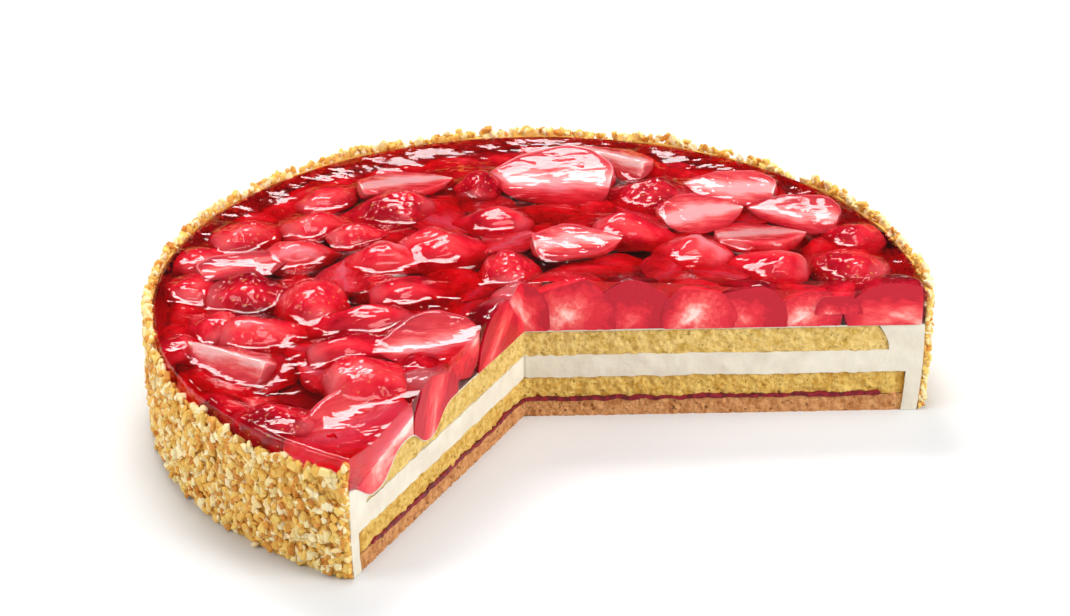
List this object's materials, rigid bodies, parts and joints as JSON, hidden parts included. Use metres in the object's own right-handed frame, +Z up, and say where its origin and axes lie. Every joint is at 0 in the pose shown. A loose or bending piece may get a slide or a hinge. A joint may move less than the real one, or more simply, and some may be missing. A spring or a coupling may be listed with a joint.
{
  "type": "strawberry tart with a wedge cut out",
  "caption": "Round layered strawberry tart in red jelly with a wide wedge cut out: shortcrust, jam, sponge, cream and a coat of chopped nuts.",
  "frame": {"origin": "centre of the round, on the underside of the shortcrust", "axes": "+Z up; +X to the right and +Y away from the viewer in the picture; the missing wedge opens towards +X -Y"},
  "size_m": [0.26, 0.2458, 0.0517],
  "materials": {
    "shortcrust": "baked shortcrust, matte and crumbly",
    "jam": "thin dark red jam",
    "sponge": "yellow sponge with fine pores",
    "cream": "smooth white cream",
    "jelly": "clear red jelly, glossy and wet",
    "nuts": "chopped roasted nuts",
    "strawberry": "cut strawberries, red skin and pale flesh"
  },
  "bodies": {
    "root": {"shortcrust_base": "shortcrust", "jam_layer": "jam", "sponge_lower": "sponge", "sponge_upper": "sponge", "cream": "cream", "jelly": "jelly", "nut_coat": "nuts", "strawberry_01": "strawberry", "strawberry_02": "strawberry", "strawberry_03": "strawberry", "strawberry_04": "strawberry", "strawberry_05": "strawberry", "strawberry_06": "strawberry", "strawberry_07": "strawberry", "strawberry_08": "strawberry", "strawberry_09": "strawberry", "strawberry_10": "strawberry", "strawberry_11": "strawberry", "strawberry_12": "strawberry", "strawberry_13": "strawberry", "strawberry_14": "strawberry", "strawberry_15": "strawberry", "strawberry_16": "strawberry", "strawberry_17": "strawberry", "strawberry_18": "strawberry", "strawberry_19": "strawberry", "strawberry_20": "strawberry", "strawberry_21": "strawberry", "strawberry_22": "strawberry", "strawberry_23": "strawberry", "strawberry_24": "strawberry", "strawberry_25": "strawberry", "strawberry_26": "strawberry", "strawberry_27": "strawberry", "strawberry_28": "strawberry", "strawberry_29": "strawberry", "strawberry_30": "strawberry", "strawberry_31": "strawberry", "strawberry_32": "strawberry", "strawberry_33": "strawberry", "strawberry_34": "strawberry", "strawberry_35": "strawberry", "strawberry_36": "strawberry", "strawberry_37": "strawberry", "strawberry_38": "strawberry", "strawberry_39": "strawberry", "strawberry_40": "strawberry", "strawberry_41": "strawberry", "strawberry_42": "strawberry", "strawberry_43": "strawberry", "strawberry_44": "strawberry", "strawberry_45": "strawberry", "strawberry_46": "strawberry", "strawberry_47": "strawberry", "strawberry_48": "strawberry", "strawberry_49": "strawberry", "strawberry_50": "strawberry", "strawberry_51": "strawberry", "strawberry_52": "strawberry"}
  },
  "joints": []
}
